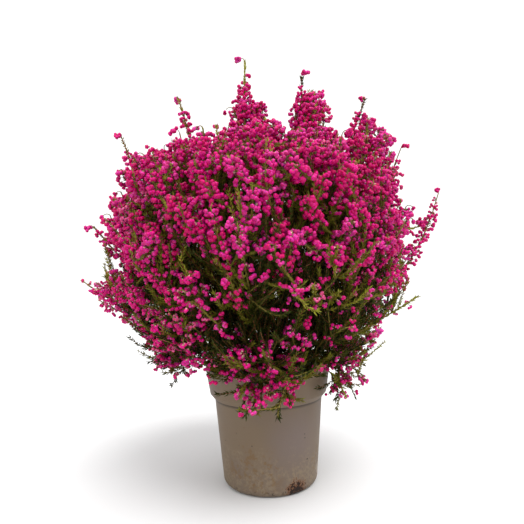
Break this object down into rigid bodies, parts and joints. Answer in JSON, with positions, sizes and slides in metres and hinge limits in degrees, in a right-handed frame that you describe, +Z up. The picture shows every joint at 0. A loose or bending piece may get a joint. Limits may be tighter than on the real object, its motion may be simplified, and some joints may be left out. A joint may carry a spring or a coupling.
{
  "type": "potted cape heath",
  "caption": "Bushy cape heath in full magenta bloom, fanning up and out from a short woody stem in a round taupe plastic nursery pot.",
  "frame": {"origin": "middle of the pot's flat underside, on the surface that it stands on", "axes": "+Z up along the pot's axis; the picture looks along +Y, so -Y is the plant's front and +X its right side as seen there"},
  "size_m": [0.352, 0.2999, 0.4071],
  "materials": {
    "pot_plastic": "matte taupe moulded polypropylene with faint ochre water stains and dirt at the foot",
    "soil": "dark moist peat and bark potting mix, crumbly and matt",
    "bark": "thin reddish brown bark on wiry stems, matt",
    "blossom": "dense spikes of small waxy magenta bells among fine needle leaves",
    "needles": "fine olive green needle leaves with a few magenta bells"
  },
  "bodies": {
    "root": {"crest_back_left": "blossom", "crest_back_left_bough": "bark", "crest_back_right": "blossom", "crest_back_right_bough": "bark", "crest_far_left": "blossom", "crest_far_left_bough": "bark", "crest_far_right": "blossom", "crest_far_right_bough": "bark", "crest_left": "blossom", "crest_left_bough": "bark", "crest_right": "blossom", "crest_right_bough": "bark", "flank_back_left": "blossom", "flank_back_left_bough": "bark", "flank_back_right": "blossom", "flank_back_right_bough": "bark", "flank_front": "blossom", "flank_front_bough": "bark", "flank_front_left": "blossom", "flank_front_left_bough": "bark", "flank_front_right": "blossom", "flank_front_right_bough": "bark", "flank_left": "blossom", "flank_left_bough": "bark", "flank_right": "blossom", "flank_right_bough": "bark", "low_back_left": "blossom", "low_back_left_bough": "bark", "low_back_right": "blossom", "low_back_right_bough": "bark", "low_front_left": "blossom", "low_front_left_bough": "bark", "low_front_right": "blossom", "low_front_right_bough": "bark", "low_left": "blossom", "low_left_bough": "bark", "low_right": "blossom", "low_right_bough": "bark", "main_stem": "bark", "pot": "pot_plastic", "shoulder_back": "blossom", "shoulder_back_bough": "bark", "shoulder_front_left": "blossom", "shoulder_front_left_bough": "bark", "shoulder_front_right": "blossom", "shoulder_front_right_bough": "bark", "shoulder_left": "blossom", "shoulder_left_bough": "bark", "shoulder_right": "blossom", "shoulder_right_bough": "bark", "skirt_back": "needles", "skirt_back_bough": "bark", "skirt_front": "needles", "skirt_front_bough": "bark", "skirt_left": "needles", "skirt_left_bough": "bark", "skirt_right": "needles", "skirt_right_bough": "bark", "soil": "soil"}
  },
  "joints": []
}
